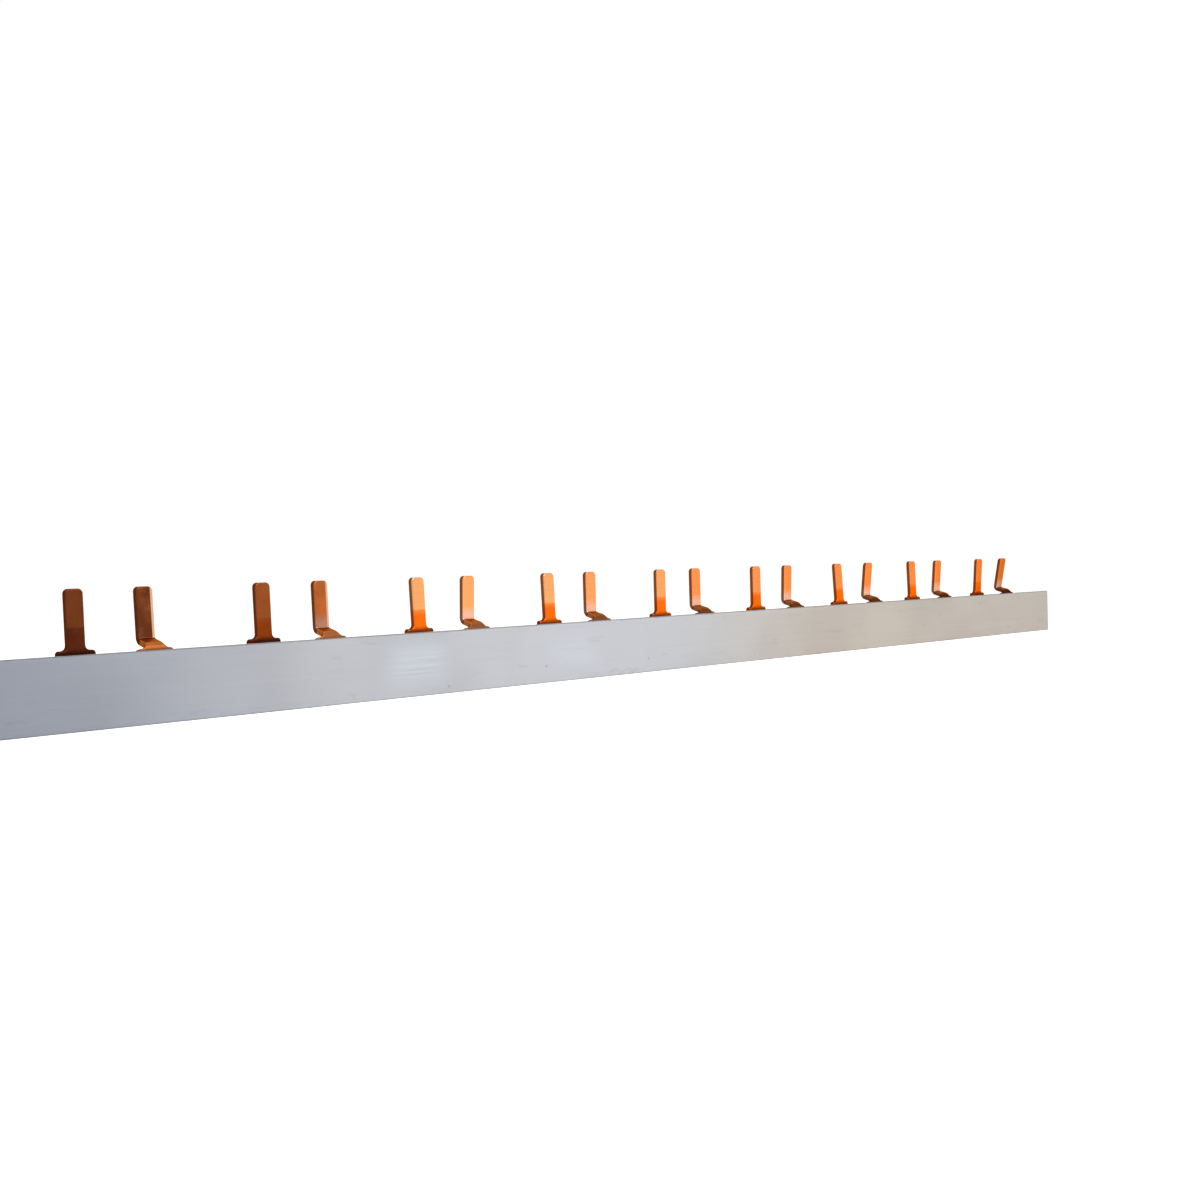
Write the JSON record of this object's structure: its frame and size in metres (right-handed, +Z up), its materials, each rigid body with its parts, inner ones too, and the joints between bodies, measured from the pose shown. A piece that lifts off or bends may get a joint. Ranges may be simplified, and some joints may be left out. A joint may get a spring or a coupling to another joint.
{
  "type": "comb busbar",
  "caption": "Pin-type comb busbar: two stamped copper combs in a light-grey insulating channel, linking the terminals of a row of modular circuit breakers.",
  "frame": {"origin": "middle of the bar's length and depth, on the underside of the cover", "axes": "+X along the bar, +Y from the front wall to the rear wall, +Z up, the way the pins point"},
  "size_m": [0.4816, 0.009, 0.0324],
  "materials": {
    "cover_pvc": "satin extruded PVC, light grey, with fine lengthwise streaks",
    "copper": "bare stamped copper, lightly tarnished"
  },
  "bodies": {
    "root": {"cover": "cover_pvc", "rear_comb": "copper", "front_comb": "copper"}
  },
  "joints": []
}
